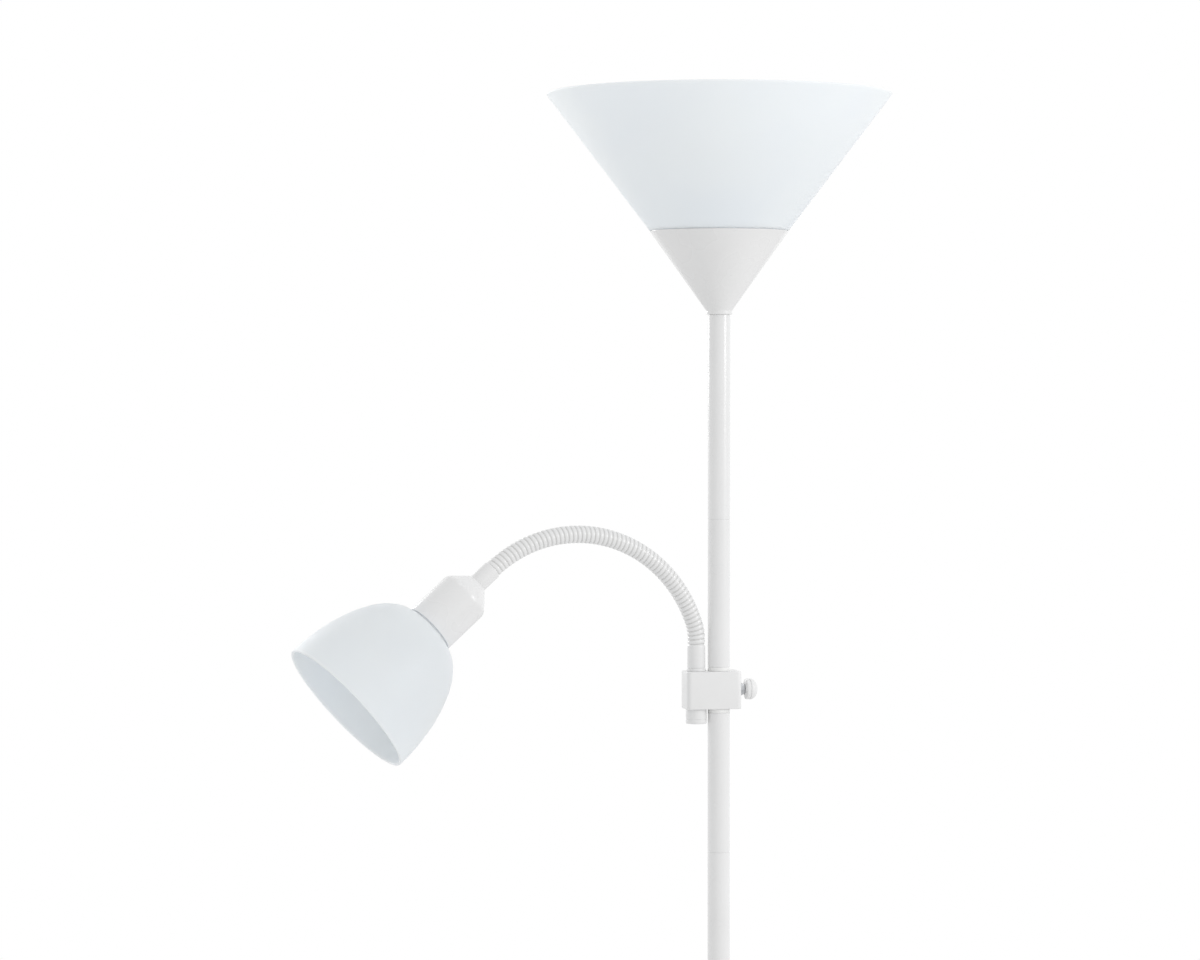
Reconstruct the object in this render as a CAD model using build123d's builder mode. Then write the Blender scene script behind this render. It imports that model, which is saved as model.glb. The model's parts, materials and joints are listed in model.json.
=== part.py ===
from build123d import *
import os
from math import asin, cos, degrees, hypot, radians, sin

# A torchiere floor lamp with a reading light on a gooseneck. Millimetres, +Z up, origin on the
# floor on the pole's axis. The reading arm leaves the switch housing towards -X.

# ---------------------------------------------------------------- driving dimensions

fit = 0.05                     # radial clearance of pieces that are screwed or pushed together
running = 0.08                 # radial clearance of pieces that turn in each other
gap = 0.3                      # space left between curved faces of neighbouring pieces
seam = 0.3                     # chamfer that shows where two tubes meet
soft_edge = 0.8                # chamfer of a moulded or turned piece's end
overshoot = 1                  # how far a cut runs past what it cuts

base_radius = 125              # round weighted base
base_skirt = 13                # height of its straight side
base_cover_wall = 1.2
base_height = 26               # floor to the seat of the first tube
felt_thickness = 2
felt_inset = 4
base_shoulder = 6              # how far the dome starts inside the skirt
weight_recess_radius = 13
weight_recess_depth = 10
collar_radius = 14
collar_height = 5
collar_lip = 1                 # how far the collar's top stands out from the pole
base_edge_round = 4
inlet_height = 6
inlet_bore = 3.2
inlet_flange_width = 1.4
inlet_flange_thickness = 1.2
inlet_proud = 2
cable_bend = 5                 # the cable's turn up into the pole

pole_radius = 8.3
pole_wall = 1.0
tube_length = 248
full_tubes = 5
tube_below_switch = 107        # from the last full tube's joint to the switch housing
tube_above_switch = 113        # from the switch housing to the next joint
top_tube_length = 152
spacer_height = 3              # light rings between the housing and the pole
coupler_length = 36
coupler_bore = 4.5
insert_length = 16

nipple_radius = 5              # hollow threaded tube, used at every end of the pole
nipple_bore = 3.5
nipple_grip = 14               # how far a nipple reaches into a tube's insert
nut_room = 1.5                 # least space between a nut and the housing's walls
nut_thickness = 3.2

cap_height = 62                # metal cup under the uplight shade
cap_rim_radius = 51.8
cap_collar_radius = 9.8
cap_collar_height = 3
cap_wall = 1.4
cap_boss_height = 14
uplight_shade_height = 102
uplight_rim_radius = 129
shade_wall = 2.2

housing_left = 9.25            # from the neck's axis to the left end
housing_right = 15.6           # from the pole's axis to the right end
housing_depth = 21
housing_height = 28
housing_wall = 2
housing_corner = 3.5
inner_round = 1
screw_radius = 1.25
screw_head_radius = 2.4
screw_head_depth = 1.3
screw_length = 10
boss_radius = 2.1
screw_height = 9               # screws' distance above and below the housing's centre

knob_radius = 7.8
knob_length = 9.9
knob_gap = 4                   # from the housing's end to the knob
knob_cap = 3                   # plastic over the end of the shaft
knob_edge = 0.5
knob_back = 1.8                # depth of the knob's sloped back
knob_groove_depth = 3          # from the knob's back to its groove
groove_half = 0.3
switch_length = 10
switch_room = 1                # space between the switch and the housing's walls
switch_height = 13
switch_bush_radius = 3.5
switch_bush_flange = 4.6
bush_flange_thickness = 2.2
switch_back = 2                # thickness behind the rotor
shaft_radius = 2
rotor_radius = 4.6
rotor_length = 4
terminal_thickness = 0.8
terminal_width = 3
terminal_rise = 2.4            # tabs' distance above and below the switch's middle
neck_cable_end = 1.2           # from the pole's axis to the neck cable's end

neck_offset = 17.35            # pole's axis to neck's axis
arm_turn = 10                  # the arm stands a little towards the front, in degrees
ferrule_radius = 6.7
ferrule_height = 20.5
ferrule_flange = 7.1
ferrule_flange_height = 2.2
ferrule_slope = 2              # height of the sloped top
ferrule_slope_width = 1.1
stud_radius = 4.5
window_width = 5               # the cable's way out of the stud
window_length = 14
window_rise = 3
end_nut_radius = 7.8
end_nut_height = 11
end_nut_floor = 1.4
end_nut_edge = 0.6

neck_straight = 3              # the neck's centreline: a short straight, then two arcs
neck_small_radius = 40
neck_small_angle = 20
neck_large_radius = 100.5
neck_total_angle = 130.8
neck_radius = 6.5
neck_valley_radius = 5.6
neck_bore = 2.2
segment_count = 10
ribs_per_segment = 6
rib_foot = 0.17                # shares of the pitch where a rib's flank starts and ends
rib_crest = 0.32
ball_radius = 4.2              # each neck segment ends in a ball that the next one turns on
ball_height = 3.2
spigot_radius = 4.6
spigot_length = 6
sleeve_radius = 7
sleeve_length = 16

holder_radius = 19.6
holder_length = 50
holder_wall = 2
holder_neck_radius = 8.2
holder_shoulder = 12.5
holder_shoulder_round = 7
holder_neck_round = 2
reading_shade_depth = 83
reading_rim_radius = 56

socket_radius = 16.5           # medium screw lampholder, the same in both lamps
socket_length = 45
socket_proud = 7               # how far its mouth stands into the shade
socket_bore = 13.9
socket_floor = 16
socket_edge = 2
shell_radius = 13.7
shell_wall = 0.4
bulb_cap_radius = 12.9
bulb_cap_length = 26
contact_radius = 3
contact_height = 1.5
ring_radius = 20
ring_thickness = 4
ring_edge = 1
shade_hole_radius = 17

large_bulb_radius = 30
large_bulb_length = 83         # from the lampholder's mouth
small_bulb_radius = 23
small_bulb_length = 62
bulb_neck_radius = 12
bulb_stem = 4                  # how far the neck runs straight, each side of the mouth
bulb_waist_angle = 35
bulb_crown_angle = 27
bulb_glass_wall = 0.8

lead_radius = 2                # cable inside the pole
neck_lead_radius = 1.6
neck_lead_turn = 8

# ---------------------------------------------------------------- heights along the pole

first_joint = base_height + tube_length
last_full_joint = base_height + full_tubes * tube_length
housing_low = last_full_joint + tube_below_switch
housing_middle = housing_low + housing_height / 2
housing_high = housing_low + housing_height
top_joint = housing_high + tube_above_switch
pole_top = top_joint + top_tube_length
shade_low = pole_top + cap_height
rim_height = shade_low + uplight_shade_height
pole_bore = pole_radius - pole_wall
housing_end = -neck_offset - housing_left
housing_centre = (housing_right + housing_end) / 2
housing_length = housing_right - housing_end
housing_inner_length = housing_length - 2 * housing_wall
housing_inner_depth = housing_depth - 2 * housing_wall
housing_inner_height = housing_height - 2 * housing_wall
nut_across_flats = housing_inner_depth - 2 * nut_room

os.makedirs("parts", exist_ok=True)


def save(piece, name):
    """Label a finished piece and write its file."""
    piece.part.label = name
    export_step(piece.part, f"parts/{name}.step")


def turned(outline, plane=Plane.XZ):
    """A piece turned about the plane's upright axis, from (radius, height) corners."""
    with BuildPart() as piece:
        with BuildSketch(plane):
            with BuildLine():
                Polyline(*outline, close=True)
            make_face()
        revolve(axis=Axis(plane.origin, plane.y_dir))
    return piece


def tube(outer, inner, low, high, plane=Plane.XZ):
    """A plain tube from one height to another on the plane's upright axis."""
    return turned([(inner, low), (outer, low), (outer, high), (inner, high)], plane)


def hex_nut(low):
    """A hexagon nut that fits the hollow threaded tubes, standing at a height on the pole's axis."""
    with BuildPart() as nut:
        with BuildSketch(Plane.XY.offset(low)):
            RegularPolygon(radius=nut_across_flats / 2, side_count=6, major_radius=False, rotation=30)
            Circle(nipple_radius + fit, mode=Mode.SUBTRACT)
        extrude(amount=nut_thickness)
    return nut


def group(pieces):
    """Several loose solids of one kind, held in one node."""
    with BuildPart() as together:
        for piece in pieces:
            add(piece.part)
    return together


# ---------------------------------------------------------------- base

skirt_low = felt_thickness / 2
cover_top = base_height - collar_height
weight_low = felt_thickness
recess_top = weight_low + weight_recess_depth
dome_low = base_skirt + base_shoulder / 2
under_cover = base_cover_wall + gap

save(tube(base_radius - felt_inset, 0, 0, felt_thickness), "base_felt_pad")

with BuildPart() as base_weight:
    with BuildSketch(Plane.XZ):
        with BuildLine():
            Polyline(
                (nipple_radius + gap, recess_top),
                (weight_recess_radius, recess_top),
                (weight_recess_radius, weight_low),
                (base_radius - under_cover, weight_low),
                (base_radius - under_cover, base_skirt - base_shoulder / 2),
                (base_radius - base_shoulder - under_cover, dome_low - under_cover),
                (collar_radius + base_shoulder, cover_top - under_cover),
                (nipple_radius + gap, cover_top - under_cover),
                close=True,
            )
        make_face()
    revolve(axis=Axis.Z)
    with BuildSketch(Plane.YZ):
        with Locations((0, (weight_low + inlet_height + inlet_bore) / 2)):
            Rectangle(2 * inlet_bore, inlet_height + inlet_bore - weight_low)
    extrude(amount=base_radius, mode=Mode.SUBTRACT)
save(base_weight, "base_weight")

with BuildPart() as base_cover:
    with BuildSketch(Plane.XZ):
        with BuildLine():
            outside = Polyline(
                (nipple_radius + gap, cover_top),
                (collar_radius + base_shoulder, cover_top),
                (base_radius - base_shoulder, dome_low),
                (base_radius, base_skirt),
                (base_radius, skirt_low),
            )
            offset(outside, amount=base_cover_wall, side=Side.RIGHT)
        make_face()
    revolve(axis=Axis.Z)
    shoulder = base_cover.edges().filter_by(GeomType.CIRCLE).group_by(SortBy.RADIUS)[-1].sort_by(Axis.Z)[-1]
    fillet(shoulder, base_edge_round)
    with BuildSketch(Plane.YZ):
        with Locations((0, inlet_height)):
            Circle(inlet_bore + fit)
    extrude(amount=2 * base_radius, mode=Mode.SUBTRACT)
save(base_cover, "base_cover")

# The cable's inlet: a bush through the skirt, with a flange outside it.
inlet_plane = Plane(origin=(base_radius, 0, inlet_height), x_dir=(0, 1, 0), z_dir=(0, 0, -1))
inlet_flange = inlet_bore + inlet_flange_width
inlet_hole = lead_radius + fit
save(
    turned(
        [
            (inlet_hole, -base_cover_wall),
            (inlet_bore, -base_cover_wall),
            (inlet_bore, fit),
            (inlet_flange, fit),
            (inlet_flange, inlet_flange_thickness),
            (inlet_bore, inlet_proud),
            (inlet_hole, inlet_proud),
        ],
        inlet_plane,
    ),
    "cable_inlet_bush",
)

with BuildPart() as base_collar:
    with BuildSketch(Plane.XZ):
        with BuildLine():
            Polyline(
                (nipple_radius + gap, cover_top),
                (collar_radius, cover_top),
                (collar_radius, cover_top + collar_height / 2),
                (pole_radius + collar_lip, base_height),
                (nipple_radius + gap, base_height),
                close=True,
            )
        make_face()
    revolve(axis=Axis.Z)
save(base_collar, "base_collar")

# ---------------------------------------------------------------- pole

tube_starts = [base_height + i * tube_length for i in range(full_tubes)]
tubes = {f"pole_tube_{i + 1}": (z, z + tube_length) for i, z in enumerate(tube_starts)}
tubes["pole_tube_below_switch"] = (last_full_joint, housing_low - spacer_height)
tubes["pole_tube_above_switch"] = (housing_high + spacer_height, top_joint)
tubes["pole_tube_top"] = (top_joint, pole_top)
for name, (low, high) in tubes.items():
    with BuildPart() as pole_tube:
        with BuildSketch(Plane.XY.offset(low)):
            Circle(pole_radius)
            Circle(pole_bore, mode=Mode.SUBTRACT)
        extrude(amount=high - low)
        chamfer(pole_tube.edges().filter_by(GeomType.CIRCLE).group_by(SortBy.RADIUS)[-1], seam)
    save(pole_tube, name)

joints = [first_joint + i * tube_length for i in range(full_tubes)] + [top_joint]
half_coupler = coupler_length / 2
couplers = [tube(pole_bore - fit, coupler_bore, z - half_coupler, z + half_coupler) for z in joints]
save(group(couplers), "pole_couplers")

# Inserts close the tube ends that sit on a nipple.
insert_starts = [
    base_height,
    housing_low - spacer_height - insert_length,
    housing_high + spacer_height,
    pole_top - insert_length,
]
inserts = [tube(pole_bore - fit, nipple_radius + fit, z, z + insert_length) for z in insert_starts]
save(group(inserts), "pole_inserts")

with BuildPart() as pole_spacers:
    for low in (housing_low - spacer_height, housing_high):
        with BuildSketch(Plane.XY.offset(low)):
            Circle(pole_radius)
            Circle(nipple_radius + gap, mode=Mode.SUBTRACT)
        extrude(amount=spacer_height)
    chamfer(pole_spacers.edges().filter_by(GeomType.CIRCLE).group_by(SortBy.RADIUS)[-1], 2 * seam)
save(pole_spacers, "pole_spacers")

base_nut_low = recess_top - nut_thickness
save(tube(nipple_radius, nipple_bore, base_nut_low, base_height + nipple_grip), "base_nipple")

housing_grip = spacer_height + nipple_grip
nut_seat_low = housing_low + housing_wall
nut_seat_high = housing_high - housing_wall - nut_thickness
housing_nipples = [
    tube(nipple_radius, nipple_bore, housing_low - housing_grip, nut_seat_low + nut_thickness),
    tube(nipple_radius, nipple_bore, nut_seat_high, housing_high + housing_grip),
]
save(group(housing_nipples), "housing_nipples")

cap_nut_low = pole_top + cap_boss_height
socket_low = shade_low + socket_proud - socket_length
save(tube(nipple_radius, nipple_bore, pole_top - nipple_grip, socket_low + socket_floor / 2), "top_nipple")

nut_seats = [base_nut_low, nut_seat_low, nut_seat_high, cap_nut_low]
save(group([hex_nut(z) for z in nut_seats]), "nipple_nuts")

# ---------------------------------------------------------------- cables inside the pole

with BuildPart() as pole_cable_lower:
    with BuildLine(Plane.XZ) as route:
        run = Line((base_radius, inlet_height), (cable_bend, inlet_height))
        rise = JernArc(run @ 1, run % 1, cable_bend, -90)
        Line(rise @ 1, (0, housing_middle - terminal_rise - terminal_thickness))
    with BuildSketch(Plane(origin=run @ 0, z_dir=run % 0)):
        Circle(lead_radius)
    sweep(path=route.wires()[0])
save(pole_cable_lower, "pole_cable_lower")

with BuildPart() as pole_cable_upper:
    upper_low = housing_middle + terminal_rise + terminal_thickness
    with BuildSketch(Plane.XY.offset(upper_low)):
        Circle(lead_radius)
    extrude(amount=socket_low + socket_floor / 2 - upper_low)
save(pole_cable_upper, "pole_cable_upper")

# ---------------------------------------------------------------- switch housing

cover_face = housing_depth / 2 - housing_wall
left_screw = -neck_offset + stud_radius + boss_radius + 2 * gap
right_screw = housing_right - housing_wall - boss_radius - gap
screw_rows = (housing_middle - screw_height, housing_middle + screw_height)
screw_spots = [(x, z) for x in (left_screw, right_screw) for z in screw_rows]


def at_screws(y):
    """Screw places on a plane across the housing at a given depth, facing the rear."""
    return [Location(Plane(origin=(x, y, z), x_dir=(1, 0, 0), z_dir=(0, 1, 0))) for x, z in screw_spots]


def housing_block():
    """The whole outside of the housing, before it is cut into the box and its rear cover."""
    with BuildPart() as block:
        with BuildSketch(Plane.XY.offset(housing_low)):
            with Locations((housing_centre, 0)):
                RectangleRounded(housing_length, housing_depth, housing_corner)
        extrude(amount=housing_height)
        chamfer(block.faces().filter_by(Axis.Z).edges(), soft_edge)
    return block.part


with BuildPart() as switch_housing:
    add(housing_block())
    split(bisect_by=Plane.XZ.offset(-cover_face), keep=Keep.TOP)
    with BuildSketch(Plane.XZ.offset(-cover_face)):
        with Locations((housing_centre, housing_middle)):
            RectangleRounded(housing_inner_length, housing_inner_height, inner_round)
    extrude(amount=housing_inner_depth, mode=Mode.SUBTRACT)
    with Locations(*at_screws(housing_wall - housing_depth / 2)):
        Cylinder(boss_radius, housing_inner_depth, align=(Align.CENTER, Align.CENTER, Align.MIN))
    with Locations(*at_screws(cover_face)):
        Cylinder(
            screw_radius,
            screw_length,
            align=(Align.CENTER, Align.CENTER, Align.MAX),
            mode=Mode.SUBTRACT,
        )
    with Locations((0, 0, housing_middle)):
        Cylinder(nipple_radius + fit, 2 * housing_height, mode=Mode.SUBTRACT)
    with Locations((-neck_offset, 0, housing_middle)):
        Cylinder(stud_radius + running, 2 * housing_height, mode=Mode.SUBTRACT)
    with Locations(Plane(origin=(housing_right, 0, housing_middle), z_dir=(1, 0, 0))):
        Cylinder(switch_bush_radius + fit, 4 * housing_wall, mode=Mode.SUBTRACT)
save(switch_housing, "switch_housing")

with BuildPart() as housing_cover:
    add(housing_block())
    split(bisect_by=Plane.XZ.offset(-cover_face), keep=Keep.BOTTOM)
    with Locations(*at_screws(housing_depth / 2)):
        CounterBoreHole(screw_radius + fit, screw_head_radius + fit, screw_head_depth, 2 * housing_wall)
save(housing_cover, "switch_housing_cover")

with BuildPart() as housing_screws:
    with Locations(*at_screws(housing_depth / 2 - screw_head_depth)):
        Cylinder(screw_head_radius, screw_head_depth - 2 * fit, align=(Align.CENTER, Align.CENTER, Align.MIN))
        Cylinder(screw_radius - fit, screw_length, align=(Align.CENTER, Align.CENTER, Align.MAX))
save(housing_screws, "housing_screws")

# ---------------------------------------------------------------- rotary switch and its knob

shaft_plane = Plane(origin=(0, 0, housing_middle), x_dir=(0, 1, 0), z_dir=(0, 0, -1))
switch_right = housing_right - housing_wall
switch_left = switch_right - switch_length
rotor_left = switch_left + switch_back
bush_end = housing_right + knob_gap - gap
knob_low = housing_right + knob_gap
knob_high = knob_low + knob_length

with BuildPart() as switch_body:
    with Locations(((switch_left + switch_right) / 2, 0, housing_middle)):
        Box(switch_length, housing_inner_depth - 2 * switch_room, switch_height)
    fillet(switch_body.edges().filter_by(Axis.X), inner_round)
    with BuildSketch(shaft_plane) as cavity:
        with BuildLine():
            Polyline(
                (0, rotor_left - gap),
                (rotor_radius + gap, rotor_left - gap),
                (rotor_radius + gap, rotor_left + rotor_length + gap),
                (switch_bush_radius + fit, rotor_left + rotor_length + gap),
                (switch_bush_radius + fit, switch_right),
                (0, switch_right),
                close=True,
            )
        make_face()
    revolve(axis=Axis(shaft_plane.origin, shaft_plane.y_dir), mode=Mode.SUBTRACT)
save(switch_body, "switch_body")

save(
    turned(
        [
            (shaft_radius + running, rotor_left + rotor_length + gap),
            (switch_bush_radius, rotor_left + rotor_length + gap),
            (switch_bush_radius, housing_right),
            (switch_bush_flange, housing_right),
            (switch_bush_flange, housing_right + bush_flange_thickness),
            (switch_bush_radius, housing_right + bush_flange_thickness + seam),
            (switch_bush_radius, bush_end),
            (shaft_radius + running, bush_end),
        ],
        shaft_plane,
    ),
    "switch_bush",
)

shaft_end = knob_high - knob_cap
save(
    turned(
        [
            (0, rotor_left),
            (rotor_radius, rotor_left),
            (rotor_radius, rotor_left + rotor_length),
            (shaft_radius, rotor_left + rotor_length),
            (shaft_radius, shaft_end),
            (0, shaft_end),
        ],
        shaft_plane,
    ),
    "switch_rotor",
)

with BuildPart() as switch_knob:
    knob_groove = knob_low + knob_groove_depth
    with BuildSketch(shaft_plane):
        with BuildLine():
            back = Polyline(
                (0, knob_low),
                (switch_bush_flange, knob_low),
                (knob_radius - knob_edge, knob_low + knob_back - knob_edge),
                (knob_radius, knob_low + knob_back),
                (knob_radius, knob_groove - groove_half),
                (knob_radius - knob_edge, knob_groove),
                (knob_radius, knob_groove + groove_half),
                (knob_radius, knob_groove + 2 * knob_edge),
            )
            dome = Spline(back @ 1, (0, knob_high), tangents=((0, 1), (-1, 0)))
            Line(dome @ 1, back @ 0)
        make_face()
    revolve(axis=Axis(shaft_plane.origin, shaft_plane.y_dir))
    with Locations(Plane(origin=(knob_low, 0, housing_middle), z_dir=(1, 0, 0))):
        Cylinder(
            shaft_radius + fit,
            shaft_end - knob_low + fit,
            align=(Align.CENTER, Align.CENTER, Align.MIN),
            mode=Mode.SUBTRACT,
        )
save(switch_knob, "switch_knob")

# Three tabs take the two pole cables and the neck's cable.
terminal_spots = [(0, terminal_rise), (0, -terminal_rise), (neck_offset * sin(radians(arm_turn)), 0)]
with BuildPart() as switch_terminals:
    for side, rise in terminal_spots:
        left = -neck_cable_end if side else -lead_radius
        with Locations(((left + switch_left) / 2, side, housing_middle + rise)):
            low_side = terminal_thickness if rise else 2 * neck_lead_radius
            Box(switch_left - left, terminal_width if not side else terminal_thickness, low_side)
save(switch_terminals, "switch_terminals")

# ---------------------------------------------------------------- the neck's centreline

arm_out = Vector(-cos(radians(arm_turn)), -sin(radians(arm_turn)), 0)
sideways = Vector(0, 0, 1).cross(arm_out)
neck_foot = Vector(-neck_offset, 0, housing_high + ferrule_height)
small_arc_length = neck_small_radius * radians(neck_small_angle)
large_arc_angle = neck_total_angle - neck_small_angle
neck_length = neck_straight + small_arc_length + neck_large_radius * radians(large_arc_angle)
segment_length = neck_length / segment_count
rib_pitch = segment_length / ribs_per_segment


def neck_point(s):
    """Distance out, height and heading (radians from upright) at a length s along the neck."""
    if s <= neck_straight:
        return 0, s, 0
    first = min(s - neck_straight, small_arc_length) / neck_small_radius
    out = neck_small_radius * (1 - cos(first))
    up = neck_straight + neck_small_radius * sin(first)
    past = s - neck_straight - small_arc_length
    if past <= 0:
        return out, up, first
    heading = first + min(past / neck_large_radius, radians(large_arc_angle))
    out += neck_large_radius * (cos(first) - cos(heading))
    up += neck_large_radius * (sin(heading) - sin(first))
    beyond = max(s - neck_length, 0)
    return out + beyond * sin(heading), up + beyond * cos(heading), heading


def neck_plane(s):
    """The plane square to the neck at a length s, its x axis always sideways."""
    out, up, heading = neck_point(s)
    along = arm_out * sin(heading) + Vector(0, 0, 1) * cos(heading)
    return Plane(origin=neck_foot + arm_out * out + Vector(0, 0, up), x_dir=sideways, z_dir=along)


def neck_axis_plane(s):
    """The plane that holds the neck's direction at a length s as its upright axis."""
    square = neck_plane(s)
    return Plane(origin=square.origin, x_dir=sideways, z_dir=sideways.cross(square.z_dir))


# ---------------------------------------------------------------- neck ferrule, nut and segments

ferrule_plane = Plane(origin=neck_foot, x_dir=sideways, z_dir=sideways.cross(Vector(0, 0, 1)))
end_nut_low = -ferrule_height - housing_height - end_nut_height
end_nut_top = -ferrule_height - housing_height - fit
stud_low = end_nut_low + end_nut_floor + 2 * fit
groove_high = -ferrule_height + ferrule_flange_height
with BuildPart() as neck_ferrule:
    with BuildSketch(ferrule_plane):
        with BuildLine():
            Polyline(
                (neck_bore, stud_low),
                (stud_radius, stud_low),
                (stud_radius, -ferrule_height + fit),
                (ferrule_flange, -ferrule_height + fit),
                (ferrule_flange, groove_high - groove_half),
                (ferrule_radius - groove_half, groove_high),
                (ferrule_radius, groove_high + groove_half),
                (ferrule_radius, -ferrule_slope),
                (ferrule_radius - ferrule_slope_width, 0),
                (spigot_radius + fit, 0),
                (spigot_radius + fit, -spigot_length - fit),
                (neck_bore, -spigot_length - fit),
                close=True,
            )
        make_face()
    revolve(axis=Axis(ferrule_plane.origin, ferrule_plane.y_dir))
    # a window in the stud lets the cable out towards the switch
    window_middle = housing_middle + window_rise
    with BuildSketch(Plane(origin=(-neck_offset, 0, window_middle), x_dir=sideways, z_dir=-arm_out)):
        RectangleRounded(window_width, window_length, inner_round)
    extrude(amount=2 * stud_radius, mode=Mode.SUBTRACT)
save(neck_ferrule, "neck_ferrule")

with BuildPart() as end_nut:
    with BuildSketch(ferrule_plane):
        with BuildLine():
            Polyline(
                (0, end_nut_low),
                (end_nut_radius - end_nut_edge, end_nut_low),
                (end_nut_radius, end_nut_low + end_nut_edge),
                (end_nut_radius, end_nut_top - end_nut_edge),
                (end_nut_radius - end_nut_edge, end_nut_top),
                (stud_radius + fit, end_nut_top),
                (stud_radius + fit, end_nut_low + end_nut_floor),
                (0, end_nut_low + end_nut_floor),
                close=True,
            )
        make_face()
    revolve(axis=Axis(ferrule_plane.origin, ferrule_plane.y_dir))
save(end_nut, "neck_end_nut")

# The flat part of each valley is as wide as the gap that the joints need.
rib_steps = [
    (rib_foot, neck_valley_radius),
    (rib_crest, neck_radius),
    (1 - rib_crest, neck_radius),
    (1 - rib_foot, neck_valley_radius),
]
ball_top_angle = degrees(asin(ball_height / ball_radius))


def segment_name(i):
    """The name of a neck segment, counted from the ferrule."""
    return f"neck_segment_{i + 1:02d}"


for i in range(segment_count):
    start = i * segment_length
    end = start + segment_length
    first = i == 0
    last = i == segment_count - 1
    with BuildPart() as neck_segment:
        for rib in range(ribs_per_segment):
            for share, radius in rib_steps:
                with BuildSketch(neck_plane(start + (rib + share) * rib_pitch)):
                    Circle(radius)
        loft(ruled=True)
        if first:
            with BuildSketch(neck_plane(0).offset(-spigot_length)):
                Circle(spigot_radius)
            extrude(amount=spigot_length + rib_pitch / 2)
        else:
            with Locations(neck_plane(start)):
                Sphere(ball_radius + running, mode=Mode.SUBTRACT)
        if last:
            with BuildSketch(neck_plane(neck_length).offset(-rib_pitch / 2)):
                Circle(spigot_radius)
            extrude(amount=spigot_length + rib_pitch / 2)
        else:
            with Locations(neck_plane(end)):
                Sphere(ball_radius, arc_size2=ball_top_angle, align=None)
        bore_start = start - spigot_length - overshoot if first else start
        bore_end = end + spigot_length + overshoot if last else end + ball_radius
        stations = 2 * ribs_per_segment
        for step in range(stations + 1):
            s = bore_start + (bore_end - bore_start) * step / stations
            # below the foot the bore is straight
            with BuildSketch(neck_plane(max(s, 0)).offset(min(s, 0))):
                Circle(neck_bore)
        loft(ruled=True, mode=Mode.SUBTRACT)
    save(neck_segment, segment_name(i))

# ---------------------------------------------------------------- reading lamp's head

head_start = neck_length + sleeve_length
head_plane = neck_axis_plane(head_start)
holder_boss = holder_length + socket_proud - socket_length
stud_end = holder_boss + socket_floor / 2

save(
    turned(
        [
            (neck_bore, -sleeve_length + spigot_length + fit),
            (spigot_radius + fit, -sleeve_length + spigot_length + fit),
            (spigot_radius + fit, -sleeve_length),
            (sleeve_radius - soft_edge, -sleeve_length),
            (sleeve_radius, -sleeve_length + soft_edge),
            (sleeve_radius, 0),
            (nipple_radius, 0),
            (nipple_radius, stud_end),
            (neck_bore, stud_end),
        ],
        head_plane,
    ),
    "neck_sleeve",
)

with BuildPart() as lamp_holder_cup:
    inner_radius = holder_radius - holder_wall
    with BuildSketch(head_plane) as cup:
        with BuildLine():
            Polyline(
                (nipple_radius + fit, 0),
                (holder_neck_radius, 0),
                (holder_radius, holder_shoulder),
                (holder_radius, holder_length),
                (inner_radius, holder_length),
                (inner_radius, holder_boss + holder_wall),
                (inner_radius - holder_wall, holder_boss),
                (nipple_radius + fit, holder_boss),
                close=True,
            )
        make_face()
        fillet(cup.vertices().sort_by_distance((holder_radius, holder_shoulder))[0], holder_shoulder_round)
        fillet(cup.vertices().sort_by_distance((holder_neck_radius, 0))[0], holder_neck_round)
    revolve(axis=Axis(head_plane.origin, head_plane.y_dir))
save(lamp_holder_cup, "lamp_holder_cup")

with BuildPart() as reading_shade:
    rim = holder_length + reading_shade_depth
    bulge = reading_rim_radius - shade_hole_radius
    with BuildSketch(head_plane):
        with BuildLine():
            outside = EllipticalCenterArc((shade_hole_radius, rim), bulge, reading_shade_depth, 270)
            inside = EllipticalCenterArc(
                (shade_hole_radius, rim), bulge - shade_wall, reading_shade_depth - shade_wall, 270
            )
            Line(outside @ 0, inside @ 0)
            Line(outside @ 1, inside @ 1)
        make_face()
    revolve(axis=Axis(head_plane.origin, head_plane.y_dir))
save(reading_shade, "reading_shade")


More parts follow.
